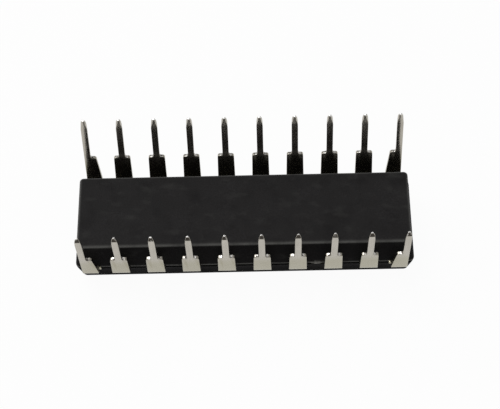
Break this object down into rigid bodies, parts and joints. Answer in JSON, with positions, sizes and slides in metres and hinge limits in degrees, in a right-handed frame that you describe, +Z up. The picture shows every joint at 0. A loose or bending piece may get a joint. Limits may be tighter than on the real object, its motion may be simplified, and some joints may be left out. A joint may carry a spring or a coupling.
{
  "type": "dip integrated circuit chip",
  "caption": "Dual in-line package chip: black moulded epoxy body with two rows of bent tinned leads, a lead frame, a die and bond wires inside",
  "frame": {"origin": "centre of the flat marked face, which the chip lies on, at the bottom of the bounding box", "axes": "+X along the length, away from the notched end; +Y towards the row with leads 1 to 10; +Z up, from the marked face towards the underside and the lead tips"},
  "size_m": [0.0244, 0.0102, 0.0084],
  "materials": {
    "epoxy": "matt moulded epoxy with a fine grain",
    "tinned_lead": "satin tin plating with fine lengthwise streaks",
    "frame_metal": "rolled lead frame metal",
    "die_adhesive": "cured silver-filled adhesive",
    "silicon": "polished silicon",
    "bond_metal": "drawn wire"
  },
  "bodies": {
    "root": {"mould_body": "epoxy", "lead_01": "tinned_lead", "lead_02": "tinned_lead", "lead_03": "tinned_lead", "lead_04": "tinned_lead", "lead_05": "tinned_lead", "lead_06": "tinned_lead", "lead_07": "tinned_lead", "lead_08": "tinned_lead", "lead_09": "tinned_lead", "lead_10": "tinned_lead", "lead_11": "tinned_lead", "lead_12": "tinned_lead", "lead_13": "tinned_lead", "lead_14": "tinned_lead", "lead_15": "tinned_lead", "lead_16": "tinned_lead", "lead_17": "tinned_lead", "lead_18": "tinned_lead", "lead_19": "tinned_lead", "lead_20": "tinned_lead", "die_paddle": "frame_metal", "die_attach": "die_adhesive", "silicon_die": "silicon", "bond_wire_01": "bond_metal", "bond_wire_02": "bond_metal", "bond_wire_03": "bond_metal", "bond_wire_04": "bond_metal", "bond_wire_05": "bond_metal", "bond_wire_06": "bond_metal", "bond_wire_07": "bond_metal", "bond_wire_08": "bond_metal", "bond_wire_09": "bond_metal", "bond_wire_10": "bond_metal", "bond_wire_11": "bond_metal", "bond_wire_12": "bond_metal", "bond_wire_13": "bond_metal", "bond_wire_14": "bond_metal", "bond_wire_15": "bond_metal", "bond_wire_16": "bond_metal", "bond_wire_17": "bond_metal", "bond_wire_18": "bond_metal", "bond_wire_19": "bond_metal", "bond_wire_20": "bond_metal"}
  },
  "joints": []
}
